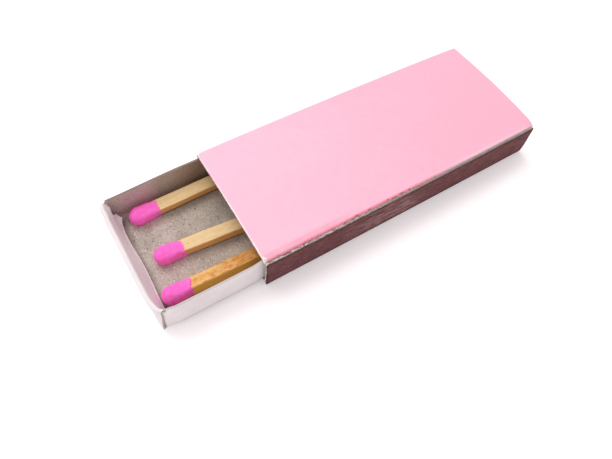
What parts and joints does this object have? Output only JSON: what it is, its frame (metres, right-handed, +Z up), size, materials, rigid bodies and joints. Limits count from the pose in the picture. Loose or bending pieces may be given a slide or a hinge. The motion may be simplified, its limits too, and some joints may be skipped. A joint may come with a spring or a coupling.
{
  "type": "matchbox",
  "caption": "Slim card matchbox with a sliding tray, striking sides, tuck-in end flaps and loose wooden matches.",
  "frame": {"origin": "middle of the sleeve's bottom face, which lies on the table", "axes": "+X along the box, away from the end where the tray is pulled out; -Y towards the glued seam side; +Z up"},
  "size_m": [0.0715, 0.023, 0.0071],
  "materials": {
    "printed_card": "satin",
    "seam_glue": "satin",
    "striking_coat": "matte",
    "grey_board": "matte",
    "white_board": "matte",
    "straw_wood": "matte",
    "honey_wood": "matte",
    "match_head": "matte"
  },
  "bodies": {
    "sleeve": {"sleeve": "printed_card", "seam_glue": "seam_glue", "near_striker": "striking_coat", "far_striker": "striking_coat"},
    "tray": {"tray": "grey_board"},
    "front_flap": {"front_flap": "white_board"},
    "rear_flap": {"rear_flap": "white_board"},
    "far_match": {"far_match_stick": "straw_wood", "far_match_head": "match_head"},
    "middle_match": {"middle_match_stick": "straw_wood", "middle_match_head": "match_head"},
    "near_match": {"near_match_stick": "honey_wood", "near_match_head": "match_head"}
  },
  "joints": [
    {"name": "tray_slide", "type": "slide", "parent": "sleeve", "child": "tray", "axis": [-1, 0, 0], "range_m": [-0.074, 0.04]},
    {"name": "front_flap_crease", "type": "hinge", "parent": "tray", "child": "front_flap", "pos_m": [-0.0433, 0.00023, 0.0057], "axis": [0, 1, 0], "range_deg": [0, 6], "stiffness_Nm_per_rad": 0.00005},
    {"name": "rear_flap_crease", "type": "hinge", "parent": "tray", "child": "rear_flap", "pos_m": [0.00989, 0.00023, 0.0057], "axis": [0, -1, 0], "range_deg": [0, 6], "stiffness_Nm_per_rad": 0.00005},
    {"name": "far_match_slide", "type": "slide", "parent": "tray", "child": "far_match", "axis": [1, 0, 0], "range_m": [-0.0011, 0.0036]},
    {"name": "middle_match_slide", "type": "slide", "parent": "tray", "child": "middle_match", "axis": [1, 0, 0], "range_m": [-0.0017, 0.003]},
    {"name": "near_match_slide", "type": "slide", "parent": "tray", "child": "near_match", "axis": [1, 0, 0], "range_m": [-0.0003, 0.0044]}
  ]
}
